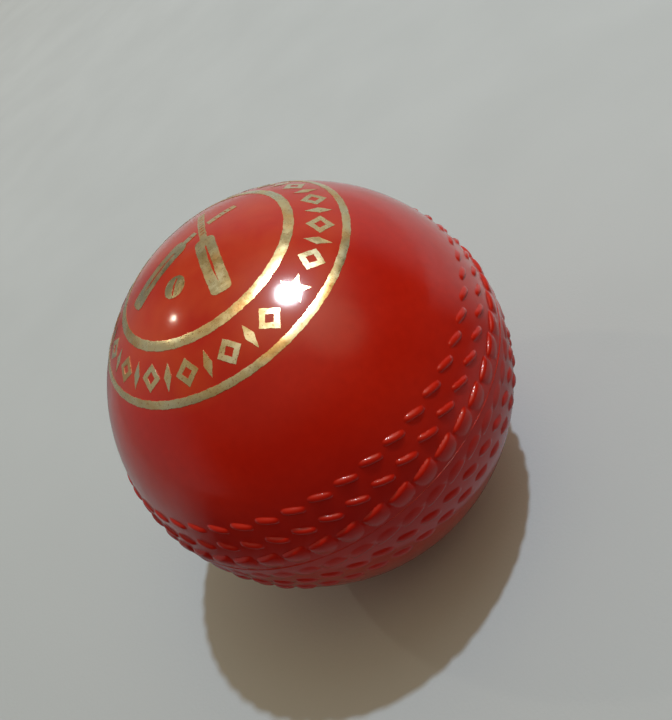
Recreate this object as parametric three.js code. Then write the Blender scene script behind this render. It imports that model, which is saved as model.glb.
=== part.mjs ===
// A moulded synthetic cricket ball, in millimetres.
// The origin is the ball's centre, the seam lies in the XY plane and the gold stamp is round +Z.
// Inside, a cork and rubber nucleus is wound with yarn, laid over with two cork halves and wound again.
// Two moulded half covers close on the winding and meet in a weld bead round the equator.
import * as THREE from "three";

// Driving dimensions
const BALL_RADIUS = 35.7; // smooth outer surface of the cover
const COVER_THICKNESS = 3.15;
const NUCLEUS_RADIUS = 14;
const INNER_WINDING_THICKNESS = 4.7;
const CORK_THICKNESS = 6.2;
const LAYER_GAP = 0.3; // clearance between one layer and the next
const PIT_LATITUDE = 87; // edge of the pit in which a winding's yarn end is tucked, in degrees

const BEAD_HALF_WIDTH = 0.3;
const BEAD_GAP = 0.12; // between the bead and the rim of each cover
const BEAD_RISE = 0.24; // crest of the bead over BALL_RADIUS
const BEAD_SHOULDER_RISE = 0.15;
const BEAD_ROOT_INSET = 2.4; // how far the bead reaches in below BALL_RADIUS

// The moulded stitches: six rows of bumps, in degrees of latitude and longitude
const STITCHES_PER_ROW = 48;
const BAND_RISE = 0.15; // the rows beside the seam stand on a raised band
const BAND_FOOT_LATITUDE = 7.8;
const UPPER_ROWS = [
  { latitude: 4.9, halfWidth: 1.9, height: 0.42, phase: 4.9 },
  { latitude: 10.7, halfWidth: 1.3, height: 0.4, phase: 4.1 },
  { latitude: 17, halfWidth: 1.3, height: 0.36, phase: 5.2 },
];
const LOWER_ROWS = [
  { latitude: 4.9, halfWidth: 1.9, height: 0.24, phase: 3.6 },
  { latitude: 10.7, halfWidth: 1.7, height: 0.42, phase: 6.5 },
  { latitude: 17, halfWidth: 1.7, height: 0.4, phase: 2.0 },
];

// The foil stamp: two rings, a band of marks between them and a device in the middle
const FOIL_LIFT = 0.05; // clearance between the foil and the cover
const FOIL_THICKNESS = 0.12;
const INNER_RING = [24.8, 27.3]; // degrees from the pole
const OUTER_RING = [38.9, 40.9];
const BAND_POLAR_ANGLE = 33.6;
const MARKS_PER_SIDE = 15;
const STAR_LONGITUDES = [21, 201];
const STAR_MARGIN = 16; // from a star's centre to the centre of the mark beside it, in degrees
const MARK_HEIGHT = 4.3;
const LOZENGE_WIDTH = 4.1;
const LOZENGE_STROKE = 0.85;
const DART_WIDTH = 1.5;
const STAR_RADIUS = 2.4;
const STAR_WAIST = 0.42; // inner radius of a star as a share of its outer radius

const DEVICE_LONGITUDE = 130; // the direction in which the top of the crossed bats points
const BAT_LEAN = 35;
const BAT_CROSSING = 4.8; // how far the crossing lies above the pole
const BLADE_LENGTH = 12.6;
const BLADE_WIDTH = 3.5;
const SHOULDER_DROP = 3.6; // from the crossing down to the top of the blade
const HANDLE_LENGTH = 6.5; // above the crossing
const HANDLE_WIDTH = 1.3;
const CROSSING_GAP = 0.5; // clear space each side of the bat in front
const SHOULDER_LENGTH = 1.2; // over which the blade widens below the handle
const SHOULDER_SHARE = 0.45; // width at the top of the shoulder, as a share of BLADE_WIDTH
const TOE_LENGTH = 0.8; // over which the blade narrows at its end
const TOE_SHARE = 0.75; // width at the toe, as a share of BLADE_WIDTH
const DEVICE_BALL_RADIUS = 2;
const DEVICE_BALL_DROP = 7; // from the pole down to the small ball's centre

// Mesh resolution
const COVER_SEGMENTS = 2 * STITCHES_PER_ROW;
const LAYER_SEGMENTS = 24;
const LAYER_STEP = 18; // degrees of latitude between the rings of a layer
const CAP_STEP = 12; // degrees of latitude between the rings of a cover's smooth cap
const RING_SEGMENTS = 48;
const DEVICE_BALL_SEGMENTS = 16;
const STRIP_STEP = 1; // length of one facet along a bat

const rad = THREE.MathUtils.degToRad;

function material(color, roughness, metalness = 0) {
  return new THREE.MeshStandardMaterial({ color, roughness, metalness });
}

const redPlastic = () => material(0xa3200f, 0.12);
const goldFoil = () => material(0xd9b46a, 0.28, 1);
const yarn = () => material(0xd8c9a6, 0.9);
const cork = () => material(0xb98a57, 0.85);
const composition = () => material(0x4a3a2e, 0.8);

function namedMesh(name, geometry, surface) {
  const mesh = new THREE.Mesh(geometry, surface);
  mesh.name = name;
  return mesh;
}

// A profile point at a latitude, for a lathe whose axis becomes +Z
function onArc(radius, latitude) {
  const angle = rad(latitude);
  const fromAxis = Math.abs(latitude) === 90 ? 0 : radius * Math.cos(angle);
  return new THREE.Vector2(fromAxis, radius * Math.sin(angle));
}

function lathe(profile, segments) {
  const geometry = new THREE.LatheGeometry(profile, segments);
  geometry.rotateX(Math.PI / 2);
  return geometry;
}

function steps(first, last, step) {
  const count = Math.round(Math.abs(last - first) / step);
  return Array.from({ length: count + 1 }, (_, i) => first + ((last - first) * i) / count);
}

// The unit vector at a polar angle and a longitude, both in degrees; longitude 0 faces -Y
function direction(polarAngle, longitude) {
  const polar = rad(polarAngle);
  const around = rad(longitude);
  const outward = Math.sin(polar);
  return new THREE.Vector3(
    outward * Math.sin(around),
    -outward * Math.cos(around),
    Math.cos(polar),
  );
}

// ---- Inside ----

// A wound shell, open only at the pit where the yarn's end is tucked in
function windingGeometry(innerRadius, outerRadius) {
  const rise = [...steps(-90, 90 - LAYER_STEP, LAYER_STEP), PIT_LATITUDE];
  const outside = rise.map((latitude) => onArc(outerRadius, latitude));
  const inside = rise.toReversed().map((latitude) => onArc(innerRadius, latitude));
  return lathe([...outside, ...inside], LAYER_SEGMENTS);
}

// A half shell with a flat rim at rimHeight above the equator
function corkHalfGeometry(innerRadius, outerRadius, rimHeight) {
  const rise = steps(LAYER_STEP, 90, LAYER_STEP);
  const outside = rise.map((latitude) => onArc(outerRadius, latitude));
  const inside = rise.toReversed().map((latitude) => onArc(innerRadius, latitude));
  const outerRim = new THREE.Vector2(outerRadius, rimHeight);
  const innerRim = new THREE.Vector2(innerRadius, rimHeight);
  return lathe([innerRim, outerRim, ...outside, ...inside, innerRim], LAYER_SEGMENTS);
}

function turnedOver(geometry) {
  geometry.rotateX(Math.PI);
  return geometry;
}

function buildInside() {
  const group = new THREE.Group();
  const nucleusProfile = steps(-90, 90, LAYER_STEP).map((latitude) => onArc(NUCLEUS_RADIUS, latitude));
  group.add(namedMesh("core_nucleus", lathe(nucleusProfile, LAYER_SEGMENTS), composition()));

  const innerFrom = NUCLEUS_RADIUS + LAYER_GAP;
  const innerTo = innerFrom + INNER_WINDING_THICKNESS;
  group.add(namedMesh("inner_winding", windingGeometry(innerFrom, innerTo), yarn()));

  const corkFrom = innerTo + LAYER_GAP;
  const corkTo = corkFrom + CORK_THICKNESS;
  const corkHalf = () => corkHalfGeometry(corkFrom, corkTo, LAYER_GAP);
  group.add(namedMesh("cork_layer_upper", corkHalf(), cork()));
  group.add(namedMesh("cork_layer_lower", turnedOver(corkHalf()), cork()));

  const outerFrom = corkTo + LAYER_GAP;
  const outerTo = BALL_RADIUS - COVER_THICKNESS - LAYER_GAP;
  group.add(namedMesh("outer_winding", windingGeometry(outerFrom, outerTo), yarn()));
  return group;
}

// ---- Cover ----

// The rings of a cover's outer surface: latitude, rise over BALL_RADIUS and row, with the crest's height
function coverRings(rows) {
  const rings = [];
  for (const row of rows) {
    const base = row.latitude < BAND_FOOT_LATITUDE ? BAND_RISE : 0;
    rings.push({ latitude: row.latitude - row.halfWidth, rise: base, row });
    rings.push({ latitude: row.latitude, rise: base, row, crest: row.height });
    rings.push({ latitude: row.latitude + row.halfWidth, rise: base, row });
  }
  const [bandRow] = rows;
  rings.splice(3, 0, { latitude: BAND_FOOT_LATITUDE, rise: 0, row: bandRow });
  return rings;
}

// Every second vertex on a crest ring is a stitch, and each row is turned to its own phase
function coverGeometry(rows) {
  const rings = coverRings(rows);
  const rimHeight = BEAD_HALF_WIDTH + BEAD_GAP;
  const lastRow = rows.at(-1);
  const foot = lastRow.latitude + lastRow.halfWidth;
  const cap = steps(foot, 90, CAP_STEP).slice(1);
  const innerRadius = BALL_RADIUS - COVER_THICKNESS;
  const innerRim = new THREE.Vector2(innerRadius, rimHeight);
  const profile = [
    innerRim,
    new THREE.Vector2(BALL_RADIUS + BAND_RISE, rimHeight),
    ...rings.map((ring) => onArc(BALL_RADIUS + ring.rise, ring.latitude)),
    ...cap.map((latitude) => onArc(BALL_RADIUS, latitude)),
    ...steps(90, LAYER_STEP, LAYER_STEP).map((latitude) => onArc(innerRadius, latitude)),
    innerRim,
  ];
  const geometry = new THREE.LatheGeometry(profile, COVER_SEGMENTS);
  raiseStitches(geometry.getAttribute("position"), profile, rings);
  geometry.rotateX(Math.PI / 2);
  return geometry;
}

function raiseStitches(position, profile, rings) {
  const firstRing = 2; // the profile starts with the two corners of the rim
  const axis = new THREE.Vector3(0, 1, 0);
  const point = new THREE.Vector3();
  for (let segment = 0; segment <= COVER_SEGMENTS; segment++) {
    rings.forEach((ring, i) => {
      const vertex = segment * profile.length + firstRing + i;
      point.fromBufferAttribute(position, vertex);
      if (ring.crest && segment % 2 === 0) {
        point.setLength(point.length() + ring.crest);
      }
      point.applyAxisAngle(axis, rad(ring.row.phase));
      position.setXYZ(vertex, point.x, point.y, point.z);
    });
  }
}

function beadGeometry() {
  const root = BALL_RADIUS - BEAD_ROOT_INSET;
  const shoulder = BALL_RADIUS + BEAD_SHOULDER_RISE;
  const profile = [
    new THREE.Vector2(root, -BEAD_HALF_WIDTH),
    new THREE.Vector2(shoulder, -BEAD_HALF_WIDTH),
    new THREE.Vector2(BALL_RADIUS + BEAD_RISE, 0),
    new THREE.Vector2(shoulder, BEAD_HALF_WIDTH),
    new THREE.Vector2(root, BEAD_HALF_WIDTH),
    new THREE.Vector2(root, -BEAD_HALF_WIDTH),
  ];
  return lathe(profile, COVER_SEGMENTS);
}

function buildCover() {
  const group = new THREE.Group();
  group.add(namedMesh("cover_upper", coverGeometry(UPPER_ROWS), redPlastic()));
  group.add(namedMesh("cover_lower", turnedOver(coverGeometry(LOWER_ROWS)), redPlastic()));
  group.add(namedMesh("weld_bead", beadGeometry(), redPlastic()));
  return group;
}

// ---- Foil stamp ----

function foilRingGeometry([nearPole, farFromPole]) {
  const inside = BALL_RADIUS + FOIL_LIFT;
  const outside = inside + FOIL_THICKNESS;
  const profile = [
    onArc(inside, 90 - farFromPole),
    onArc(outside, 90 - farFromPole),
    onArc(outside, 90 - nearPole),
    onArc(inside, 90 - nearPole),
    onArc(inside, 90 - farFromPole),
  ];
  return lathe(profile, RING_SEGMENTS);
}

function lozengeShape() {
  const diamond = (halfWidth, halfHeight) => [
    new THREE.Vector2(halfWidth, 0),
    new THREE.Vector2(0, halfHeight),
    new THREE.Vector2(-halfWidth, 0),
    new THREE.Vector2(0, -halfHeight),
  ];
  const halfWidth = LOZENGE_WIDTH / 2;
  const halfHeight = MARK_HEIGHT / 2;
  const inset = LOZENGE_STROKE * Math.hypot(1 / halfWidth, 1 / halfHeight);
  const shape = new THREE.Shape(diamond(halfWidth, halfHeight));
  shape.holes.push(new THREE.Path(diamond(halfWidth * (1 - inset), halfHeight * (1 - inset))));
  return shape;
}

function dartShape() {
  const halfWidth = DART_WIDTH / 2;
  const halfHeight = MARK_HEIGHT / 2;
  return new THREE.Shape([
    new THREE.Vector2(halfWidth, 0),
    new THREE.Vector2(0, halfHeight),
    new THREE.Vector2(-halfWidth, 0),
    new THREE.Vector2(0, -halfHeight),
  ]);
}

function starShape() {
  const corners = Array.from({ length: 10 }, (_, i) => {
    const radius = i % 2 === 0 ? STAR_RADIUS : STAR_RADIUS * STAR_WAIST;
    const angle = Math.PI / 2 + (i * Math.PI) / 5;
    return new THREE.Vector2(radius * Math.cos(angle), radius * Math.sin(angle));
  });
  return new THREE.Shape(corners);
}

// A flat mark laid on the ball with its top towards the pole
function mark(name, geometry, polarAngle, longitude) {
  const mesh = namedMesh(name, geometry, goldFoil());
  const outward = direction(polarAngle, longitude);
  const towardsPole = direction(polarAngle - 90, longitude);
  const sideways = new THREE.Vector3().crossVectors(towardsPole, outward);
  mesh.position.copy(outward).multiplyScalar(BALL_RADIUS + FOIL_LIFT);
  mesh.quaternion.setFromRotationMatrix(new THREE.Matrix4().makeBasis(sideways, towardsPole, outward));
  return mesh;
}

function flatMark(name, shape, longitude) {
  const geometry = new THREE.ExtrudeGeometry(shape, { depth: FOIL_THICKNESS, bevelEnabled: false });
  return mark(name, geometry, BAND_POLAR_ANGLE, longitude);
}

const twoDigits = (number) => String(number).padStart(2, "0");

function buildBorder() {
  const group = new THREE.Group();
  group.add(flatMark("foil_star_front", starShape(), STAR_LONGITUDES[0]));
  group.add(flatMark("foil_star_rear", starShape(), STAR_LONGITUDES[1]));
  const span = STAR_LONGITUDES[1] - STAR_LONGITUDES[0] - 2 * STAR_MARGIN;
  const pitch = span / (MARKS_PER_SIDE - 1);
  let lozenges = 0;
  let darts = 0;
  for (const start of STAR_LONGITUDES) {
    for (let i = 0; i < MARKS_PER_SIDE; i++) {
      const longitude = start + STAR_MARGIN + i * pitch;
      if (i % 2 === 0) {
        lozenges += 1;
        group.add(flatMark(`foil_lozenge_${twoDigits(lozenges)}`, lozengeShape(), longitude));
      } else {
        darts += 1;
        group.add(flatMark(`foil_dart_${twoDigits(darts)}`, dartShape(), longitude));
      }
    }
  }
  return group;
}

function bladeWidth(down) {
  const shoulder = Math.min(1, (down - SHOULDER_DROP) / SHOULDER_LENGTH);
  const toe = Math.min(1, (BLADE_LENGTH + SHOULDER_DROP - down) / TOE_LENGTH);
  const { lerp } = THREE.MathUtils;
  return BLADE_WIDTH * lerp(SHOULDER_SHARE, 1, shoulder) * lerp(TOE_SHARE, 1, toe);
}

const batWidth = (down) => (down < SHOULDER_DROP ? HANDLE_WIDTH : bladeWidth(down));

// A strip of foil along a bat's centre line, between two distances below the crossing, bent onto the ball
function batStripGeometry(from, to, lean) {
  const length = to - from;
  const count = Math.ceil(length / STRIP_STEP);
  const geometry = new THREE.BoxGeometry(1, length, FOIL_THICKNESS, 1, count, 1);
  const position = geometry.getAttribute("position");
  const point = new THREE.Vector3();
  const up = new THREE.Vector3(0, 0, 1);
  const turn = rad(DEVICE_LONGITUDE + 180);
  for (let i = 0; i < position.count; i++) {
    point.fromBufferAttribute(position, i);
    const down = from + length / 2 - point.y;
    const across = point.x * batWidth(down);
    const radius = BALL_RADIUS + FOIL_LIFT + FOIL_THICKNESS / 2 + point.z;
    point.set(across, -down, 0).applyAxisAngle(up, rad(lean));
    point.y += BAT_CROSSING;
    const flat = Math.hypot(point.x, point.y);
    const around = Math.atan2(point.y, point.x);
    const polar = flat / BALL_RADIUS;
    point.set(Math.sin(polar) * Math.cos(around), Math.sin(polar) * Math.sin(around), Math.cos(polar));
    point.multiplyScalar(radius).applyAxisAngle(up, turn);
    position.setXYZ(i, point.x, point.y, point.z);
  }
  return geometry;
}

function buildDevice() {
  const group = new THREE.Group();
  const toe = SHOULDER_DROP + BLADE_LENGTH;
  const halfCut = (HANDLE_WIDTH / 2 + CROSSING_GAP) / Math.sin(rad(2 * BAT_LEAN));
  const strips = [
    ["foil_bat_front", -HANDLE_LENGTH, toe, BAT_LEAN],
    ["foil_bat_rear_handle", -HANDLE_LENGTH, -halfCut, -BAT_LEAN],
    ["foil_bat_rear_blade", halfCut, toe, -BAT_LEAN],
  ];
  for (const [name, from, to, lean] of strips) {
    group.add(namedMesh(name, batStripGeometry(from, to, lean), goldFoil()));
  }
  const disc = new THREE.CylinderGeometry(
    DEVICE_BALL_RADIUS,
    DEVICE_BALL_RADIUS,
    FOIL_THICKNESS,
    DEVICE_BALL_SEGMENTS,
  );
  disc.rotateX(Math.PI / 2);
  disc.translate(0, 0, FOIL_THICKNESS / 2);
  const polarAngle = THREE.MathUtils.radToDeg(DEVICE_BALL_DROP / BALL_RADIUS);
  group.add(mark("foil_ball", disc, polarAngle, DEVICE_LONGITUDE + 180));
  return group;
}

function buildStamp() {
  const group = new THREE.Group();
  group.add(namedMesh("foil_ring_inner", foilRingGeometry(INNER_RING), goldFoil()));
  group.add(namedMesh("foil_ring_outer", foilRingGeometry(OUTER_RING), goldFoil()));
  group.add(buildBorder());
  group.add(buildDevice());
  return group;
}

const ball = new THREE.Group();
ball.add(buildInside());
ball.add(buildCover());
ball.add(buildStamp());

export default ball;
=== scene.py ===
# The looks of a moulded synthetic cricket ball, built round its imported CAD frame.
# Metres, +Z through the foil stamp, the seam in the XY plane. Angles in the tables are degrees.
from math import atan2, cos, hypot, pi, radians, sin

import bpy
import numpy as np
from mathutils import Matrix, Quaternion, Vector
from mathutils.geometry import delaunay_2d_cdt

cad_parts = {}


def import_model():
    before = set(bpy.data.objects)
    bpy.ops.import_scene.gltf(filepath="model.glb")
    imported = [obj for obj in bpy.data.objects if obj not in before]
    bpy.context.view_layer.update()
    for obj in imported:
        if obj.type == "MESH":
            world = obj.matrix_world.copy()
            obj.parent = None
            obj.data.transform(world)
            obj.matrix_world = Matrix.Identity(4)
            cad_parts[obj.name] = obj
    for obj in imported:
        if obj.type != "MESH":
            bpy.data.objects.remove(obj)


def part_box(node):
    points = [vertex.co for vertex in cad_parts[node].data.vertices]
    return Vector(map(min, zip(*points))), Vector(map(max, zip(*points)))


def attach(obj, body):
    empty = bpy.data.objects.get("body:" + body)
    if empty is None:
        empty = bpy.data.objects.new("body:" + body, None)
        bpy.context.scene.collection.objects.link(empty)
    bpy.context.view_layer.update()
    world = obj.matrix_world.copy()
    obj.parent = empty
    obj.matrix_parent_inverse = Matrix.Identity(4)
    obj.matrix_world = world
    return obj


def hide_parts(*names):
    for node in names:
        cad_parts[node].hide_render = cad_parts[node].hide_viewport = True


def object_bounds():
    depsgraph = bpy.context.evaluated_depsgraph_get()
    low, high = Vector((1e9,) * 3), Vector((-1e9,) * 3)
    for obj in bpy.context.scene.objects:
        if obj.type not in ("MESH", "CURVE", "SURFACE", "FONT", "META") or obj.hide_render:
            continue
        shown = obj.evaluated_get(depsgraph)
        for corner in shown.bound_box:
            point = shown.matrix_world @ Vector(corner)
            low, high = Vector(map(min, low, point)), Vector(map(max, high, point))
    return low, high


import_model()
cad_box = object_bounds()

MM = 0.001
RADIUS = -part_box("cover_lower")[0].z  # the smooth cover, from its lower pole
COVER_THICKNESS = 3.15 * MM

# The stamp, as the CAD lays it out: angles from the pole and longitudes, and lengths in millimetres
INNER_RING = (24.8, 27.3)
OUTER_RING = (38.9, 40.9)
BAND_POLAR = 33.6
STAR_LONGITUDES = (21, 201)
STAR_MARGIN = 16
STAR_RADIUS = 2.4
STAR_WAIST = 0.42
MARKS_PER_SIDE = 15
MARK_HALF_HEIGHT = 2.15
LOZENGE_HALF_WIDTH = 2.05
LOZENGE_STROKE = 0.85
DART_HALF_WIDTH = 0.75
DEVICE_LONGITUDE = 130
DEVICE_BALL_RADIUS = 2.0
DEVICE_BALL_DROP = 7.0
BAT_LEAN = 35
BAT_CROSSING = 4.8
HANDLE_TOP = 6.5  # heights on a bat are from the crossing
HANDLE_HALF_WIDTH = 0.65
HANDLE_CUT = 1.22  # half of the gap in the rear bat's handle
BLADE_TOP = -3.6
BLADE_TOE = -16.2
BLADE_HALF_WIDTH = 1.75

# The moulded stitches: bars whose cross-section has one radius away from the weld and one towards it.
# Latitudes are signed, the phase is the longitude of one stitch, and lengths are in millimetres.
# A high squareness gives blunt ends.
STITCHES_PER_ROW = 48
PITCH = 360 / STITCHES_PER_ROW
ROWS = (
    # latitude, phase, slant, half length, far radius, weld-side radius, height, squareness
    (17.0, 5.2, 20, 1.85, 0.78, 0.50, 0.43, 6),
    (10.7, 4.1, 25, 1.90, 0.64, 0.52, 0.50, 6),
    (4.9, 4.9, -11, 2.20, 0.68, 8.00, 0.58, 6),
    (-4.9, 3.6, -11, 2.20, 0.90, 7.00, 0.36, 6),
    (-10.7, 6.5, 25, 1.95, 0.80, 2.10, 0.42, 4),
    (-17.0, 2.0, 20, 1.90, 0.80, 2.10, 0.44, 4),
)
BAND_RISE = 0.15  # of the band along the weld, in millimetres
BAND_EDGE = (3.0, 5.2)  # latitudes between which the band runs out
HEIGHT_VARIATION = 0.08  # how far a stitch may differ from its row's height, as a share of it
FILLET = 0.03  # how softly a stitch's foot meets the ball, in millimetres
STITCHED_TO = 20.0  # the latitude where the smooth cover begins
RIM_LATITUDE = 0.12  # where a half cover ends, at the weld
BEAD_ROOT_INSET = 2.9 * MM  # how deep the weld bead's root reaches between the rims
LAYER_GAP = 0.3 * MM  # between one layer inside and the next

rng = np.random.default_rng(11)


# ---- Places on the ball ----

def unit(polar, longitude):
    """Unit vectors at polar angles and longitudes in degrees. Longitude 0 faces -Y."""
    p, around = np.broadcast_arrays(np.radians(polar), np.radians(longitude))
    return np.stack([np.sin(p) * np.sin(around), -np.sin(p) * np.cos(around), np.cos(p)], axis=-1)


def level_ring(reach, longitude, height):
    """Points at a reach from the axis and one height, at longitudes in degrees."""
    around = np.radians(longitude)
    return np.stack([reach * np.sin(around), -reach * np.cos(around), around * 0 + height], axis=-1)


def smoothstep(low, high, x):
    t = np.clip((x - low) / (high - low), 0, 1)
    return t * t * (3 - 2 * t)


WAVES = [(rng.normal(size=3), rng.uniform(0, 2 * pi), scale) for scale in (60, 90, 140, 230, 380)]


def waviness(direction):
    """The slight unevenness of a moulded surface, in metres."""
    height = 0
    for axis, phase, scale in WAVES:
        axis = axis / np.linalg.norm(axis)
        height = height + np.sin(direction @ axis * RADIUS * scale * pi + phase) * 0.5 / scale
    return height * MM


def stitches(latitude, longitude):
    """Height of the stitches and the band along the weld over the smooth ball, in metres."""
    band = BAND_RISE * smoothstep(BAND_EDGE[1], BAND_EDGE[0], np.abs(latitude))
    bars = np.full(np.broadcast(latitude, longitude).shape, -1.0)
    for row_latitude, phase, slant, half_length, far_side, weld_side, rise, squareness in ROWS:
        number = np.round((longitude - phase) / PITCH)
        # a different angle for every stitch of every row
        vary = 1 + HEIGHT_VARIATION * np.sin(number * 12.9898 + row_latitude * 3.1)
        degrees_east = longitude - phase - number * PITCH
        east = np.radians(degrees_east) * cos(radians(row_latitude)) * RADIUS / MM
        south = np.radians(row_latitude - latitude) * RADIUS / MM
        turn = radians(slant)
        along = np.minimum(np.abs(east * cos(turn) + south * sin(turn)) / half_length, 1.4)
        to_weld = (south * cos(turn) - east * sin(turn)) * (1 if row_latitude > 0 else -1)
        radius = np.where(to_weld < 0, far_side, weld_side)
        section = np.sqrt(np.clip(radius ** 2 - to_weld ** 2, 0, None)) - radius
        ends = rise * vary * (1 - (along ** 2 + along ** squareness) / 2)
        bars = np.maximum(bars, section + ends)
    over = bars - band
    return (band + (over + np.sqrt(over ** 2 + FILLET ** 2)) / 2) * MM


def cover_radius(latitude, longitude):
    return RADIUS + stitches(latitude, longitude) + waviness(unit(90 - latitude, longitude))


def cover_points(latitude, longitude):
    return unit(90 - latitude, longitude) * cover_radius(latitude, longitude)[..., None]


def cover_normals(latitude, longitude):
    """Normals of the cover's outer surface, from small steps either way along it."""
    step = 0.09
    stretch = step / np.maximum(np.cos(np.radians(latitude)), 0.02)
    north = cover_points(latitude + step, longitude) - cover_points(latitude - step, longitude)
    east = cover_points(latitude, longitude + stretch) - cover_points(latitude, longitude - stretch)
    normal = np.cross(east, north)
    return normal / np.linalg.norm(normal, axis=-1, keepdims=True)


# ---- Mesh helpers ----

def new_piece(name, vertices, faces, material, normals=None, sharp_above=None):
    mesh = bpy.data.meshes.new(name)
    mesh.from_pydata([tuple(v) for v in vertices], [], faces)
    mesh.polygons.foreach_set("use_smooth", [True] * len(mesh.polygons))
    if sharp_above is not None:
        mesh.set_sharp_from_angle(angle=radians(sharp_above))
    if normals is not None:
        mesh.normals_split_custom_set_from_vertices([tuple(n) for n in normals])
    mesh.materials.append(material)
    mesh.update()
    piece = bpy.data.objects.new(name, mesh)
    bpy.context.scene.collection.objects.link(piece)
    return piece


def stand_for(piece, node):
    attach(piece, "root")
    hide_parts(node)


def bridge(first, first_count, second, second_count):
    """Faces between two rings of vertices. The second has as many as the first, half or twice."""
    faces = []
    if first_count == second_count:
        for i in range(first_count):
            j = (i + 1) % first_count
            faces.append((first + i, first + j, second + j, second + i))
    elif first_count == 2 * second_count:
        for i in range(second_count):
            a, b, c = (first + (2 * i + k) % first_count for k in range(3))
            d, e = second + i, second + (i + 1) % second_count
            faces += [(a, b, d), (b, e, d), (b, c, e)]
    else:
        for i in range(first_count):
            a, b = first + i, first + (i + 1) % first_count
            c, d, e = (second + (2 * i + k) % second_count for k in range(3))
            faces += [(a, d, c), (a, b, d), (b, e, d)]
    return faces


def skin(rings):
    """A closed body from a row of rings. A ring of one vertex is a pole."""
    vertices, starts, faces = [], [], []
    for ring in rings:
        starts.append(len(vertices))
        vertices.extend(ring)
    for k in range(len(rings) - 1):
        a, na, b, nb = starts[k], len(rings[k]), starts[k + 1], len(rings[k + 1])
        if na == 1:
            faces += [(a, b + (i + 1) % nb, b + i) for i in range(nb)]
        elif nb == 1:
            faces += [(a + i, a + (i + 1) % na, b) for i in range(na)]
        else:
            faces += bridge(a, na, b, nb)
    return vertices, faces


# ---- Materials ----

class Nodes:
    """Short calls for building one material's node tree."""

    def __init__(self, name, **constants):
        self.material = bpy.data.materials.new(name)
        self.material.use_nodes = True
        self.tree = self.material.node_tree
        self.shader = self.tree.nodes["Principled BSDF"]
        for socket, value in constants.items():
            self.shader.inputs[socket.replace("_", " ")].default_value = value
        self.place = self.add("ShaderNodeTexCoord").outputs["Object"]

    def add(self, kind, **settings):
        node = self.tree.nodes.new(kind)
        for key, value in settings.items():
            setattr(node, key, value)
        return node

    def link(self, source, target):
        self.tree.links.new(source, target)

    def to_shader(self, source, socket):
        self.link(source, self.shader.inputs[socket])

    def noise(self, scale, detail=3.0, roughness=0.5, place=None):
        node = self.add("ShaderNodeTexNoise")
        node.inputs["Scale"].default_value = scale
        node.inputs["Detail"].default_value = detail
        node.inputs["Roughness"].default_value = roughness
        self.link(place or self.place, node.inputs["Vector"])
        return node.outputs["Fac"]

    def cells(self, scale, output="Distance"):
        node = self.add("ShaderNodeTexVoronoi")
        node.inputs["Scale"].default_value = scale
        self.link(self.place, node.inputs["Vector"])
        return node.outputs[output]

    def stretched(self, scale, rotation):
        node = self.add("ShaderNodeMapping")
        node.inputs["Scale"].default_value = scale
        node.inputs["Rotation"].default_value = rotation
        self.link(self.place, node.inputs["Vector"])
        return node.outputs["Vector"]

    def ramp(self, source, *stops):
        """Colour stops: (position, grey or (r, g, b))."""
        node = self.add("ShaderNodeValToRGB")
        elements = node.color_ramp.elements
        while len(elements) < len(stops):
            elements.new(0.5)
        for element, (position, colour) in zip(elements, stops):
            element.position = position
            rgb = colour if isinstance(colour, tuple) else (colour,) * 3
            element.color = (*rgb, 1)
        self.link(source, node.inputs["Fac"])
        return node.outputs["Color"]

    def remap(self, source, low, high, to_low, to_high):
        node = self.add("ShaderNodeMapRange")
        sockets = ("From Min", "From Max", "To Min", "To Max")
        for socket, value in zip(sockets, (low, high, to_low, to_high)):
            node.inputs[socket].default_value = value
        self.link(source, node.inputs["Value"])
        return node.outputs["Result"]

    def dot(self, source, direction):
        node = self.add("ShaderNodeVectorMath", operation="DOT_PRODUCT")
        self.link(source, node.inputs[0])
        node.inputs[1].default_value = direction
        return node.outputs["Value"]

    def mix(self, factor, first, second):
        node = self.add("ShaderNodeMix", data_type="RGBA")
        self.link(factor, node.inputs["Factor"])
        for socket, value in (("A", first), ("B", second)):
            target = next(s for s in node.inputs if s.name == socket and s.type == "RGBA")
            if isinstance(value, tuple):
                target.default_value = (*value, 1)
            else:
                self.link(value, target)
        return next(s for s in node.outputs if s.type == "RGBA")

    def maths(self, operation, first, second):
        node = self.add("ShaderNodeMath", operation=operation)
        self.link(first, node.inputs[0])
        self.link(second, node.inputs[1])
        return node.outputs[0]

    def bump(self, height, strength, distance):
        node = self.add("ShaderNodeBump")
        node.inputs["Strength"].default_value = strength
        node.inputs["Distance"].default_value = distance
        self.link(height, node.inputs["Height"])
        self.to_shader(node.outputs["Normal"], "Normal")


DEEP_RED = (0.58, 0.009, 0.002)
BRIGHT_RED = (0.74, 0.019, 0.004)
DULL_RED = (0.48, 0.006, 0.002)
GOLD_RESIDUE = (0.80, 0.11, 0.022)
WARM_GOLD = (0.92, 0.60, 0.26)
CHAMPAGNE = (0.95, 0.80, 0.46)
PALE_GOLD = (0.90, 0.86, 0.60)
WORN_FOIL = (0.50, 0.20, 0.06)
DARK_CORK = (0.20, 0.09, 0.035)
BROWN_CORK = (0.45, 0.24, 0.10)
PALE_CORK = (0.60, 0.38, 0.18)
CORK_FLECK = (0.07, 0.03, 0.015)
CORK_GRANULE = (0.42, 0.22, 0.09)
BROWN_RUBBER = (0.10, 0.06, 0.035)
BLACK_RUBBER = (0.022, 0.018, 0.016)


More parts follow.
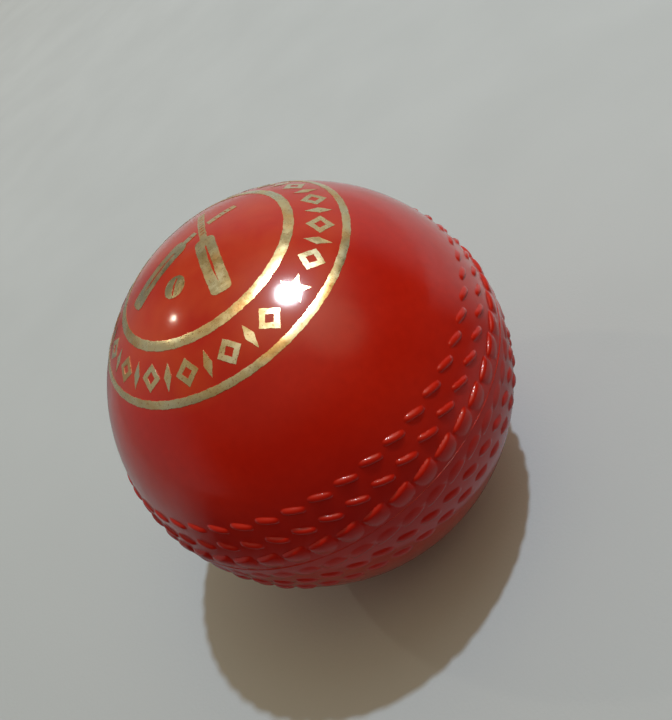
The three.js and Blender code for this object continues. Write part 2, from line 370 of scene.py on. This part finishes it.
def red_plastic(name):
    """Glossy red PVC: a deep colour, a little uneven, under a clear skin with fine handling marks."""
    n = Nodes(name, IOR=1.5, Specular_IOR_Level=0.10, Coat_Weight=0.9, Coat_Roughness=0.13)
    broad = n.noise(38, detail=2.0)
    cloud = n.ramp(broad, (0.30, DEEP_RED), (0.70, BRIGHT_RED))
    fine = n.noise(700, detail=2.0)
    red = n.mix(n.remap(fine, 0.3, 0.75, 0.0, 0.25), cloud, DULL_RED)
    # a breath of gold left on the plastic round the stamp
    split = n.add("ShaderNodeSeparateXYZ")
    n.link(n.place, split.inputs[0])
    inside_stamp = n.remap(split.outputs["Z"], 26 * MM, 29 * MM, 0.0, 1.0)
    patches = n.remap(n.noise(110, detail=3.0), 0.35, 0.7, 0.05, 0.5)
    residue = n.maths("MULTIPLY", inside_stamp, patches)
    n.to_shader(n.mix(residue, red, GOLD_RESIDUE), "Base Color")
    haze = n.noise(160, detail=4.0)
    n.to_shader(n.remap(haze, 0.3, 0.7, 0.30, 0.40), "Roughness")
    scratch = n.noise(900, detail=3.0, place=n.stretched((1.0, 0.05, 0.3), (0.5, 0.2, 0.9)))
    n.bump(scratch, 0.05, 0.00002)
    return n.material


def gold_foil():
    """Hot-stamped foil: champagne metal, warmer in patches, streaked bright and dull."""
    n = Nodes("gold_foil", Metallic=1.0, IOR=1.45)
    patches = n.noise(170, detail=3.0)
    gold = n.ramp(patches, (0.34, WARM_GOLD), (0.48, CHAMPAGNE), (0.66, PALE_GOLD))
    worn = n.remap(n.noise(2600, detail=2.0), 0.60, 0.72, 0.0, 0.6)
    n.to_shader(n.mix(worn, gold, WORN_FOIL), "Base Color")
    streaks = n.noise(420, detail=3.0, roughness=0.6)
    n.to_shader(n.remap(streaks, 0.35, 0.65, 0.18, 0.36), "Roughness")
    n.bump(n.noise(650, detail=3.0), 0.30, 0.00006)
    return n.material


def yarn(name, light, dark):
    n = Nodes(name, Roughness=0.92, Sheen_Weight=0.4, Sheen_Roughness=0.5)
    fibre = n.noise(2200, detail=3.0, place=n.stretched((1.0, 0.4, 0.7), (0.3, 0.8, 0.1)))
    n.to_shader(n.mix(n.remap(fibre, 0.3, 0.7, 0.0, 1.0), dark, light), "Base Color")
    n.bump(fibre, 0.6, 0.0002)
    return n.material


def cork():
    n = Nodes("cork", Roughness=0.88)
    grain = n.cells(520, output="Color")
    shade = n.noise(0.9, detail=0.0, place=grain)
    tone = n.ramp(shade, (0.30, DARK_CORK), (0.50, BROWN_CORK), (0.70, PALE_CORK))
    flecks = n.remap(n.noise(1500, detail=2.0), 0.60, 0.68, 0.0, 0.85)
    n.to_shader(n.mix(flecks, tone, CORK_FLECK), "Base Color")
    n.bump(n.cells(520), 0.7, 0.0004)
    return n.material


def composition():
    n = Nodes("core_composition", Roughness=0.72)
    grains = n.cells(620)
    colour = n.ramp(grains, (0.18, CORK_GRANULE), (0.30, BROWN_RUBBER), (0.60, BLACK_RUBBER))
    n.to_shader(colour, "Base Color")
    n.bump(grains, 0.5, 0.0004)
    return n.material


RED = red_plastic("red_cover")
BEAD_RED = red_plastic("weld_bead")
GOLD = gold_foil()
CORK = cork()


# ---- Cover ----

FINE_COUNT = 960  # vertices of a ring among the stitches
FINE_STEP = 0.2  # degrees of latitude between rings
COARSE_STEP = 0.45
STITCH_REACH = 2.3  # degrees of latitude either side of a row that the fine rings cover
SMOOTH_RINGS = (
    # from latitude, to latitude, step, vertices
    (84, 62, 2.0, 120),
    (62, 40, 1.2, 240),
    (40, STITCHED_TO, 0.8, 480),
)
RIM_RINGS = ((0.25, 480), (0.5, 240), (1.0, 120))  # share of the way in, vertices
INSIDE_COUNT = 120  # vertices of a ring on the inside of a cover
INSIDE_STEP = 6


def ring_latitudes():
    """Latitudes and vertex counts of a half cover's rings, fine on the stitches and coarse elsewhere."""
    rings = []
    for start, end, step, count in SMOOTH_RINGS:
        rings += [(latitude, count) for latitude in np.arange(start, end + step / 2, -step)]
    latitude = STITCHED_TO
    while latitude > RIM_LATITUDE + 0.25:
        rings.append((latitude, FINE_COUNT))
        on_stitches = any(abs(latitude - abs(row[0])) < STITCH_REACH for row in ROWS)
        latitude -= FINE_STEP if on_stitches else COARSE_STEP
    return rings + [(RIM_LATITUDE, FINE_COUNT)]


def cover(name, side):
    """One half cover: the outside from pole to rim, the rim, and the inside back to the pole."""
    pole = unit(0 if side > 0 else 180, 0)
    rings = [[pole * RADIUS]]
    normals = [[np.array((0.0, 0.0, side))]]
    for latitude, count in ring_latitudes():
        longitude = np.arange(count) * 360 / count
        signed = np.full(count, latitude * side)
        rings.append(list(cover_points(signed, longitude)))
        normals.append(list(cover_normals(signed, longitude)))
    inner = RADIUS - COVER_THICKNESS
    rim_height = RADIUS * sin(radians(RIM_LATITUDE)) * side
    for share, count in RIM_RINGS:
        reach = RADIUS + (inner - RADIUS) * share
        rings.append(list(level_ring(reach, np.arange(count) * 360 / count, rim_height)))
    longitude = np.arange(INSIDE_COUNT) * 360 / INSIDE_COUNT
    for latitude in range(INSIDE_STEP, 90, INSIDE_STEP):
        rings.append(list(unit(90 - latitude * side, longitude) * inner))
    rings.append([pole * inner])
    # a zero normal leaves the rim and the inside to the mesh's own normals
    normals += [[np.zeros(3)] * len(ring) for ring in rings[len(normals):]]
    vertices, faces = skin(rings)
    if side > 0:
        faces = [tuple(reversed(face)) for face in faces]
    flat_normals = [n for ring in normals for n in ring]
    piece = new_piece(f"{name}_shell", vertices, faces, RED, normals=flat_normals)
    stand_for(piece, name)


cover("cover_upper", 1)
cover("cover_lower", -1)


def weld_bead():
    """The fine ridge squeezed out at the weld, uneven in height, on a root between the two rims."""
    count = FINE_COUNT
    longitude = np.arange(count) * 360 / count
    around = np.radians(longitude)
    waves = ((9, 1), (23, 4), (61, 2), (139, 5))  # waves round the ball, phase
    uneven = sum(np.sin(around * k + p) / (i + 2) for i, (k, p) in enumerate(waves))
    upper = cover_radius(np.full(count, RIM_LATITUDE), longitude)
    lower = cover_radius(np.full(count, -RIM_LATITUDE), longitude)
    higher = np.maximum(upper, lower)
    root = RADIUS - BEAD_ROOT_INSET + longitude * 0
    profile = (
        # height, the radius it starts from, rise over that radius; heights and rises in millimetres
        (-0.06, root, 0.0),
        (-0.06, lower, -0.3),
        (-0.10, lower, -0.08),
        (-0.07, lower, 0.0),
        (-0.035, higher, 0.055),
        (0.0, higher, 0.08),
        (0.035, higher, 0.055),
        (0.07, upper, 0.0),
        (0.10, upper, -0.08),
        (0.06, upper, -0.3),
        (0.06, root, 0.0),
    )
    rings = []
    for height, base, rise in profile:
        reach = base + rise * MM * (1 + 0.5 * uneven * (rise > 0))
        rings.append(level_ring(reach, longitude, height * MM))
    vertices = np.concatenate(rings)
    faces = []
    for k in range(len(rings)):
        a, b = k * count, (k + 1) % len(rings) * count
        faces += bridge(a, count, b, count)
    piece = new_piece("weld_ridge", vertices, faces, BEAD_RED, sharp_above=60)
    stand_for(piece, "weld_bead")


weld_bead()


# ---- Foil stamp ----

FILM_TOP = 0.045 * MM
FILM_BOTTOM = -0.06 * MM
RAGGED = 0.045  # how far the film's edge strays, in millimetres
EDGE_SPACING = 0.16  # between points along an edge
GRID_SPACING = 0.42  # between points inside it


def stray(distance, seed):
    """An uneven edge: a number in -1..1 that changes along the distance in millimetres."""
    waves = ((2.1, 0.9), (5.3, 0.6), (11.7, 0.5), (23.0, 0.35))
    return sum(a * np.sin(distance * f + seed * (k + 1.7)) for k, (f, a) in enumerate(waves)) / 1.6


def resampled(corners, spacing, seed):
    """The outline with points every spacing or so, its corners kept and its edge made uneven."""
    points = []
    travelled = 0
    for (x0, y0), (x1, y1) in zip(corners, corners[1:] + corners[:1]):
        length = hypot(x1 - x0, y1 - y0)
        count = max(1, round(length / spacing))
        nx, ny = (y1 - y0) / length, -(x1 - x0) / length
        for i in range(count):
            t = i / count
            off = RAGGED * float(stray(travelled + t * length, seed))
            points.append((x0 + (x1 - x0) * t + nx * off, y0 + (y1 - y0) * t + ny * off))
        travelled += length
    return points


def inside(point, outlines):
    """Even-odd test against all the outlines together."""
    x, y = point
    odd = False
    for outline in outlines:
        for (x0, y0), (x1, y1) in zip(outline, outline[1:] + outline[:1]):
            if (y0 > y) != (y1 > y) and x < x0 + (y - y0) / (y1 - y0) * (x1 - x0):
                odd = not odd
    return odd


def triangulated(outlines):
    """Points and triangles that fill the outlines, with a grid of points between them to bend on."""
    edges, points = [], []
    for outline in outlines:
        start = len(points)
        points += outline
        edges += [(start + i, start + (i + 1) % len(outline)) for i in range(len(outline))]
    xs, ys = zip(*outlines[0])
    for x in np.arange(min(xs), max(xs), GRID_SPACING):
        for y in np.arange(min(ys), max(ys), GRID_SPACING):
            if inside((x, y), outlines):
                points.append((float(x), float(y)))
    corners, _, triangles, *_ = delaunay_2d_cdt([Vector(p) for p in points], edges, [], 0, 1e-6)
    flat = [tuple(v) for v in corners]
    kept = []
    for triangle in triangles:
        centre = [sum(flat[i][k] for i in triangle) / 3 for k in range(2)]
        if inside(centre, outlines):
            kept.append(tuple(triangle))
    return flat, kept


def film(name, node, outlines, place, seed):
    """A thin closed film. The outlines, in millimetres, hold the outer edge first, then any holes."""
    ragged = [resampled(outline, EDGE_SPACING, seed + k) for k, outline in enumerate(outlines)]
    flat, triangles = triangulated(ragged)
    count = len(flat)
    vertices = [place(x, y, RADIUS + FILM_TOP) for x, y in flat]
    vertices += [place(x, y, RADIUS + FILM_BOTTOM) for x, y in flat]
    faces = triangles + [tuple(i + count for i in reversed(t)) for t in triangles]
    edges = dict.fromkeys(edge for a, b, c in triangles for edge in ((a, b), (b, c), (c, a)))
    for a, b in edges:
        if (b, a) not in edges:
            faces.append((b, a, a + count, b + count))
    used = sorted({i for face in faces for i in face})
    number = {old: new for new, old in enumerate(used)}
    vertices = [vertices[i] for i in used]
    faces = [tuple(number[i] for i in face) for face in faces]
    piece = new_piece(name, vertices, faces, GOLD, sharp_above=45)
    stand_for(piece, node)


def mark_place(polar, longitude):
    """Lays a mark's millimetres on the ball, with its top towards the pole."""
    out = unit(polar, longitude)
    north = unit(polar - 90, longitude)
    east = np.cross(north, out)

    def place(x, y, radius):
        direction = out + (x * east + y * north) * MM / RADIUS
        return direction / np.linalg.norm(direction) * radius

    return place


def diamond(half_width, half_height):
    return [(half_width, 0), (0, half_height), (-half_width, 0), (0, -half_height)]


def star(radius, waist):
    corners = []
    for i in range(10):
        reach = radius if i % 2 == 0 else radius * waist
        angle = pi / 2 + i * pi / 5
        corners.append((reach * cos(angle), reach * sin(angle)))
    return corners


def border():
    inset = 1 - LOZENGE_STROKE * hypot(1 / LOZENGE_HALF_WIDTH, 1 / MARK_HALF_HEIGHT)
    lozenge = [
        diamond(LOZENGE_HALF_WIDTH, MARK_HALF_HEIGHT),
        diamond(LOZENGE_HALF_WIDTH * inset, MARK_HALF_HEIGHT * inset),
    ]
    dart = [diamond(DART_HALF_WIDTH, MARK_HALF_HEIGHT)]
    span = STAR_LONGITUDES[1] - STAR_LONGITUDES[0] - 2 * STAR_MARGIN
    pitch = span / (MARKS_PER_SIDE - 1)
    made = {"lozenge": 0, "dart": 0}
    for end, start in zip(("front", "rear"), STAR_LONGITUDES):
        place = mark_place(BAND_POLAR, start)
        film(f"star_film_{end}", f"foil_star_{end}", [star(STAR_RADIUS, STAR_WAIST)], place, start)
        for i in range(MARKS_PER_SIDE):
            kind, outlines = ("lozenge", lozenge) if i % 2 == 0 else ("dart", dart)
            made[kind] += 1
            number = f"{made[kind]:02d}"
            place = mark_place(BAND_POLAR, start + STAR_MARGIN + i * pitch)
            film(f"{kind}_film_{number}", f"foil_{kind}_{number}", outlines, place, i + start)


def ring_film(name, node, limits, seed):
    """A ring of film, slightly crowned, with uneven edges and width."""
    count, across = 900, 5
    wander = 0.09
    crown = 0.03 * MM
    around = np.arange(count) * 2 * pi / count
    reach = RADIUS / MM * sin(radians(sum(limits) / 2))
    tops, bottoms = [], []
    for k in range(across + 1):
        share = k / across
        edge = stray(around * round(reach), seed if share < 0.5 else seed + 5) * wander
        from_middle = 2 * share - 1
        polar = limits[0] + (limits[1] - limits[0]) * share + edge * abs(from_middle)
        direction = unit(polar, np.degrees(around))
        tops.append(direction * (RADIUS + FILM_TOP + crown * (1 - from_middle ** 2)))
        bottoms.append(direction * (RADIUS + FILM_BOTTOM))
    rings = tops + bottoms[::-1]
    faces = []
    for k in range(len(rings)):
        faces += bridge((k + 1) % len(rings) * count, count, k * count, count)
    piece = new_piece(name, np.concatenate(rings), faces, GOLD, sharp_above=45)
    stand_for(piece, node)


def arc(cx, cy, radius, start, end, count):
    angles = [radians(start + (end - start) * i / count) for i in range(count + 1)]
    return [(cx + radius * cos(a), cy + radius * sin(a)) for a in angles]


def bat_place(lean):
    """Lays a bat's millimetres on the ball: x across it, y up from the crossing."""
    turn = radians(DEVICE_LONGITUDE + 180)

    def place(x, y, radius):
        a = radians(lean)
        flat_x = x * cos(a) - y * sin(a)
        flat_y = x * sin(a) + y * cos(a) + BAT_CROSSING
        polar = hypot(flat_x, flat_y) * MM / RADIUS
        around = atan2(flat_y, flat_x) + turn
        return np.array((sin(polar) * cos(around), sin(polar) * sin(around), cos(polar))) * radius

    return place


def bat_outline(top, bottom):
    """The part of a bat between two heights. Any bottom below the handle means the whole blade."""
    shoulder_drop, toe_radius, toe_crown = 1.3, 0.9, 0.05
    right = [(HANDLE_HALF_WIDTH, top)]
    if bottom > BLADE_TOP:
        right.append((HANDLE_HALF_WIDTH, bottom))
    else:
        right.append((HANDLE_HALF_WIDTH, BLADE_TOP))
        for degrees in range(15, 91, 15):
            t = radians(degrees)
            x = HANDLE_HALF_WIDTH + (BLADE_HALF_WIDTH - HANDLE_HALF_WIDTH) * sin(t)
            right.append((x, BLADE_TOP - shoulder_drop * (1 - cos(t))))
        right += arc(BLADE_HALF_WIDTH - toe_radius, BLADE_TOE + toe_radius, toe_radius, 0, -75, 5)
        right.append((0, BLADE_TOE - toe_crown))
    left = [(-x, y) for x, y in reversed(right) if x > 0]
    return right + left


def spine_slot():
    """The slim slot down the middle of a blade, pointed at both ends."""
    half_width, top, bottom = 0.2, -5.6, -14.2
    middle = (top + bottom) / 2
    return [
        (half_width, middle + 1.0),
        (half_width * 0.6, top - 0.4),
        (0, top),
        (-half_width * 0.6, top - 0.4),
        (-half_width, middle + 1.0),
        (-half_width, middle - 1.0),
        (0, bottom),
        (half_width, middle - 1.0),
    ]


def grip_slots(top, bottom):
    """Slanting slots across a handle, where its grip is wound."""
    half_width, thickness, pitch = 0.42, 0.2, 0.95
    top_margin, bottom_margin = 0.9, 0.6
    slots = []
    y = top - top_margin
    while y > bottom + bottom_margin:
        right, left = y + 0.14, y - 0.04
        slots.append([
            (half_width, right),
            (-half_width, left),
            (-half_width, left - thickness),
            (half_width, right - thickness),
        ])
        y -= pitch
    return slots


def device():
    spine = spine_slot()
    front_grip_end, rear_grip_end = -3.0, -3.2
    front = [bat_outline(HANDLE_TOP, BLADE_TOE), spine, *grip_slots(HANDLE_TOP, front_grip_end)]
    rear_handle = [bat_outline(HANDLE_TOP, HANDLE_CUT), *grip_slots(HANDLE_TOP, HANDLE_CUT)]
    rear_slots = grip_slots(-HANDLE_CUT, rear_grip_end)
    rear_blade = [bat_outline(-HANDLE_CUT, BLADE_TOE), spine, *rear_slots]
    film("bat_film_front", "foil_bat_front", front, bat_place(BAT_LEAN), 3)
    film("bat_film_rear_handle", "foil_bat_rear_handle", rear_handle, bat_place(-BAT_LEAN), 5)
    film("bat_film_rear_blade", "foil_bat_rear_blade", rear_blade, bat_place(-BAT_LEAN), 8)
    polar = np.degrees(DEVICE_BALL_DROP * MM / RADIUS)
    disc = arc(0, 0, DEVICE_BALL_RADIUS, 0, 350, 35)
    seam = [(-0.16, 1.5), (-0.3, 0), (-0.16, -1.5), (0.16, -1.5), (0.02, 0), (0.16, 1.5)]
    film("ball_film", "foil_ball", [disc, seam], mark_place(polar, DEVICE_LONGITUDE + 180), 2)


ring_film("ring_film_inner", "foil_ring_inner", INNER_RING, 1)
ring_film("ring_film_outer", "foil_ring_outer", OUTER_RING, 9)
border()
device()


# ---- Inside ----

def node_radius(node):
    low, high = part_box(node)
    return (high.x - low.x) / 2


NUCLEUS_RADIUS = node_radius("core_nucleus")
INNER_WINDING_RADIUS = node_radius("inner_winding")
CORK_RADIUS = node_radius("cork_layer_upper")
OUTER_WINDING_RADIUS = node_radius("outer_winding")


def grain_texture(name, size):
    texture = bpy.data.textures.new(name, "VORONOI")
    texture.noise_scale = size
    texture.distance_metric = "DISTANCE"
    return texture


def roughen(piece, name, size, depth):
    """Sinks the gaps between granules into a surface, with a displace modifier."""
    modifier = piece.modifiers.new("granules", "DISPLACE")
    modifier.texture = grain_texture(name, size)
    modifier.texture_coords = "LOCAL"
    modifier.strength = -depth
    modifier.mid_level = 0.0


def nucleus():
    depth = 0.35 * MM
    bpy.ops.mesh.primitive_ico_sphere_add(subdivisions=6, radius=NUCLEUS_RADIUS)
    piece = bpy.context.object
    piece.name = "composition_nucleus"
    piece.data.name = piece.name
    piece.data.polygons.foreach_set("use_smooth", [True] * len(piece.data.polygons))
    piece.data.materials.append(composition())
    roughen(piece, "composition_granules", 2.2 * MM, depth)
    stand_for(piece, "core_nucleus")


def winding_base(inner, outer):
    """A closed shell for yarn to lie on, with a pit at its top where the yarn's end is tucked in."""
    count = 96
    longitude = np.arange(count) * 360 / count
    rings = [[unit(180, 0) * outer]]
    for polar in range(174, 5, -6):
        rings.append(list(unit(polar, longitude) * outer))
    for polar in range(6, 175, 6):
        rings.append(list(unit(polar, longitude) * inner))
    rings.append([unit(180, 0) * inner])
    return skin(rings)


def wound_yarn(name, node, inner, outer, loops, thickness, colours):
    """A wound shell: turns of yarn in many directions, in layers on a closed base."""
    layers = 4
    sides = 6
    steps = 96
    wander = 0.05
    off_axis = (0.3, 0.5, 0.81)  # not parallel to the axis of any turn
    golden = pi * (3 - 5 ** 0.5)
    vertices, faces = winding_base(inner, outer - thickness * (1.0 + 0.5 * layers / 2))
    turns = np.arange(steps) * 2 * pi / steps
    section = np.arange(sides) * 2 * pi / sides
    for k in range(loops):
        z = 1 - (k + 0.5) / loops
        spin = golden * k * 7
        level = (1 - z * z) ** 0.5
        axis = np.array((level * cos(spin), level * sin(spin), z))
        first = np.cross(axis, off_axis)
        first /= np.linalg.norm(first)
        second = np.cross(axis, first)
        middle = outer - thickness * (0.5 + 0.5 * (k % layers))
        tilt = wander * np.sin(turns * 3 + k)
        path = np.outer(np.cos(turns), first) + np.outer(np.sin(turns), second) + np.outer(tilt, axis)
        path /= np.linalg.norm(path, axis=1, keepdims=True)
        start = len(vertices)
        for radial in path:
            for angle in section:
                offset = radial * cos(angle) + axis * sin(angle)
                vertices.append(radial * middle + offset * thickness / 2)
        for i in range(steps):
            a, b = start + i * sides, start + (i + 1) % steps * sides
            for j in range(sides):
                m = (j + 1) % sides
                faces.append((a + j, a + m, b + m, b + j))
    piece = new_piece(name, vertices, faces, yarn(name, *colours))
    stand_for(piece, node)


def cork_half(name, node, side):
    """Half a cork shell, its surface broken into granules."""
    depth = 0.3 * MM
    inner = INNER_WINDING_RADIUS + LAYER_GAP
    rim_height = LAYER_GAP * side
    pole = unit(0 if side > 0 else 180, 0)
    count = 240
    longitude = np.arange(count) * 360 / count
    rings = [[pole * CORK_RADIUS]]
    for latitude in np.arange(88.5, 1.0, -1.5):
        rings.append(list(unit(90 - latitude * side, longitude) * CORK_RADIUS))
    for share in np.linspace(0, 1, 9):
        reach = CORK_RADIUS + (inner - CORK_RADIUS) * share
        rings.append(list(level_ring(reach, longitude, rim_height)))
    for latitude in np.arange(3, 89, 3):
        rings.append(list(unit(90 - latitude * side, longitude) * inner))
    rings.append([pole * inner])
    vertices, faces = skin(rings)
    if side > 0:
        faces = [tuple(reversed(face)) for face in faces]
    piece = new_piece(name, vertices, faces, CORK, sharp_above=50)
    roughen(piece, name, 2.6 * MM, depth)
    stand_for(piece, node)


INNER_YARN = ((0.74, 0.66, 0.48), (0.50, 0.42, 0.27))  # light and dark
OUTER_YARN = ((0.78, 0.70, 0.52), (0.55, 0.46, 0.30))

nucleus()
wound_yarn("yarn_inner", "inner_winding", NUCLEUS_RADIUS + LAYER_GAP, INNER_WINDING_RADIUS,
           60, 0.9 * MM, INNER_YARN)
cork_half("cork_shell_upper", "cork_layer_upper", 1)
cork_half("cork_shell_lower", "cork_layer_lower", -1)
wound_yarn("yarn_outer", "outer_winding", CORK_RADIUS + LAYER_GAP, OUTER_WINDING_RADIUS,
           110, 1.1 * MM, OUTER_YARN)


# ---- Stage, light and camera ----

def toward(azimuth, elevation):
    """A direction from the ball, its azimuth in degrees from +X to +Y."""
    a, e = radians(azimuth), radians(elevation)
    return Vector((cos(e) * cos(a), cos(e) * sin(a), sin(e)))


def flat_square(name, z, material):
    half = 3.0
    corners = [(-half, -half, z), (half, -half, z), (half, half, z), (-half, half, z)]
    mesh = bpy.data.meshes.new(name)
    mesh.from_pydata(corners, [], [(0, 1, 2, 3)])
    mesh.materials.append(material)
    ob = bpy.data.objects.new(name, mesh)
    bpy.context.scene.collection.objects.link(ob)
    return ob


CLOTH = (0.66, 0.67, 0.66)
PALE_CLOTH = (0.70, 0.71, 0.70)
# painted shade: the cloth's tone towards the camera
PAINTED_SHADE_CLOTH = (0.56, 0.57, 0.56)
SOFT_FLOOR = ((0.34, 0.34, 0.34), (0.40, 0.40, 0.40))


def floor():
    """A pale cloth with painted shade on the camera's side, which only the camera sees."""
    n = Nodes("pale_floor", Roughness=0.9)
    soft = n.noise(25, detail=3.0)
    cloth = n.mix(n.remap(soft, 0.3, 0.7, 0.0, 1.0), CLOTH, PALE_CLOTH)
    # painted shade, fading from 60 mm in front of the ball's centre to 320 mm behind it
    back = n.remap(n.dot(n.place, toward(37, 0)), -60 * MM, 320 * MM, 0.0, 1.0)
    lit = n.ramp(back, (0.0, 0.0), (0.2, 0.44), (0.5, 0.83), (1.0, 1.0))
    n.to_shader(n.mix(lit, PAINTED_SHADE_CLOTH, cloth), "Base Color")
    n.bump(n.noise(1800, detail=2.0), 0.15, 0.0002)
    square = flat_square("floor", cad_box[0].z, n.material)
    square.visible_diffuse = square.visible_glossy = square.visible_shadow = False


def painted_reflection_floor():
    """A floor square that only the ball's gloss sees, its tones a painted reflection: pale behind,
    beside and near the ball, dark elsewhere.
    """
    n = Nodes("painted_reflection_floor", Roughness=1.0, Specular_IOR_Level=0.0)

    def facing(azimuth, full, gone, tone):
        """A tone that fades with the angle from an azimuth."""
        way = n.add("ShaderNodeVectorMath", operation="NORMALIZE")
        n.link(n.place, way.inputs[0])
        dot = n.dot(way.outputs["Vector"], toward(azimuth, 0))
        return n.remap(dot, cos(radians(gone)), cos(radians(full)), 0.0, tone)

    length = n.add("ShaderNodeVectorMath", operation="LENGTH")
    n.link(n.place, length.inputs[0])
    reach = length.outputs["Value"]
    # painted reflection: pale tones stand for lit floor, near black for the unlit room
    far = n.maths("MAXIMUM", facing(48, 46, 66, 0.66), facing(145, 24, 42, 0.42))
    near = n.remap(reach, 0.047, 0.10, 0.40, 0.0)
    beside = n.maths("MULTIPLY", facing(-35, 12, 38, 0.62), n.remap(reach, 0.08, 0.13, 1.0, 0.0))
    grain = n.remap(n.noise(300), 0.3, 0.7, 0.9, 1.1)
    pale = n.maths("MAXIMUM", far, n.maths("MAXIMUM", near, beside))
    tone = n.maths("MULTIPLY", pale, grain)
    n.to_shader(n.ramp(tone, (0.0, 0.004), (1.0, 1.0)), "Base Color")
    square = flat_square("painted_reflection_floor", cad_box[0].z - 1 * MM, n.material)
    square.visible_camera = square.visible_diffuse = square.visible_shadow = False


def floor_in_soft_light():
    """What throws soft light back on the ball's underside: a darker cloth than the camera sees."""
    n = Nodes("floor_in_soft_light", Roughness=1.0, Specular_IOR_Level=0.0)
    n.to_shader(n.mix(n.noise(25), *SOFT_FLOOR), "Base Color")
    square = flat_square("floor_in_soft_light", cad_box[0].z - 2 * MM, n.material)
    square.visible_camera = square.visible_glossy = square.visible_shadow = False


def lamp(name, direction, distance, size, power, colour):
    """A round lamp that faces the ball. Its size is its diameter in metres, its power in watts."""
    data = bpy.data.lights.new(name, "AREA")
    data.shape = "DISK"
    data.size = size
    data.energy = power
    data.color = colour
    ob = bpy.data.objects.new(name, data)
    ob.location = Vector(direction).normalized() * distance
    ob.rotation_mode = "QUATERNION"
    ob.rotation_quaternion = (-ob.location).to_track_quat("-Z", "Y")
    bpy.context.scene.collection.objects.link(ob)
    return ob


WARM = (1.0, 0.82, 0.52)
NEUTRAL = (0.96, 1.0, 0.98)
ROOM = (
    # what, azimuth, elevation, full within, gone beyond, brightness, colour
    ("ceiling", 0, 90, 15, 75, 0.28, WARM),
    ("glow round the lamp", -18, 69, 14, 36, 0.55, WARM),
    ("bright wall", -48, 46, 6, 20, 0.62, WARM),
    ("pale wall behind", 50, -5, 35, 58, 0.36, NEUTRAL),
    ("wall at the side", 145, -5, 30, 60, 0.20, NEUTRAL),
)
UNLIT_ROOM = (0.02, 0.016, 0.012)
BACKDROP = (0.50, 0.51, 0.50, 1)


def world():
    """A dim room, dark towards the camera. The camera itself sees a pale backdrop."""
    made = bpy.data.worlds.new("studio")
    made.use_nodes = True
    tree = made.node_tree
    add, link = tree.nodes.new, tree.links.new
    place = add("ShaderNodeTexCoord").outputs["Generated"]
    total = None
    for _, azimuth, elevation, full, gone, brightness, colour in ROOM:
        dot = add("ShaderNodeVectorMath")
        dot.operation = "DOT_PRODUCT"
        dot.inputs[1].default_value = toward(azimuth, elevation)
        link(place, dot.inputs[0])
        fade = add("ShaderNodeMapRange")
        fade.interpolation_type = "SMOOTHSTEP"
        fade.inputs["From Min"].default_value = cos(radians(gone))
        fade.inputs["From Max"].default_value = cos(radians(full))
        fade.inputs["To Max"].default_value = brightness
        link(dot.outputs["Value"], fade.inputs["Value"])
        light = add("ShaderNodeVectorMath")
        light.operation = "MULTIPLY_ADD"
        link(fade.outputs["Result"], light.inputs[0])
        light.inputs[1].default_value = colour
        if total:
            link(total, light.inputs[2])
        else:
            light.inputs[2].default_value = UNLIT_ROOM
        total = light.outputs["Vector"]
    path = add("ShaderNodeLightPath")
    mix = add("ShaderNodeMix")
    mix.data_type = "RGBA"
    link(path.outputs["Is Camera Ray"], mix.inputs["Factor"])
    colours = [s for s in mix.inputs if s.type == "RGBA"]
    link(total, colours[0])
    colours[1].default_value = BACKDROP
    link(next(s for s in mix.outputs if s.type == "RGBA"), tree.nodes["Background"].inputs["Color"])
    bpy.context.scene.world = made


def camera():
    """At longitude 0, above the seam, rolled so that the stamp leans to the upper left."""
    elevation, roll = 39.44, -40.8
    distance = 3.983 * RADIUS
    data = bpy.data.cameras.new("camera")
    data.lens = 39.18
    data.clip_start = 0.005
    ob = bpy.data.objects.new("camera", data)
    ob.location = Vector((0, -cos(radians(elevation)), sin(radians(elevation)))) * distance
    target = Vector((0.167 * RADIUS, 0, 0))
    look = (target - ob.location).to_track_quat("-Z", "Y")
    ob.rotation_mode = "QUATERNION"
    ob.rotation_quaternion = look @ Quaternion((0, 0, 1), radians(roll))
    bpy.context.scene.collection.objects.link(ob)
    bpy.context.scene.camera = ob


def lamps():
    """One lamp for light and shade, one that the gloss reflects, and a small warm one behind."""
    cool, cool_white, warm_white = (0.65, 0.82, 1.0), (0.85, 0.93, 1.0), (1.0, 0.92, 0.72)
    shading = lamp("shading_lamp", toward(5, 68.0), distance=3.2, size=0.1, power=49, colour=cool)
    shading.visible_glossy = False
    shining = lamp("shining_lamp", (0.348, -0.09, 0.933), distance=3.2, size=0.75, power=80,
                   colour=cool_white)
    shining.visible_diffuse = False
    lamp("far_lamp", (-0.382, 0.544, 0.747), distance=2.0, size=0.05, power=1.2, colour=warm_white)


floor()
painted_reflection_floor()
floor_in_soft_light()
lamps()
world()
camera()
bpy.context.scene.view_settings.view_transform = "Standard"
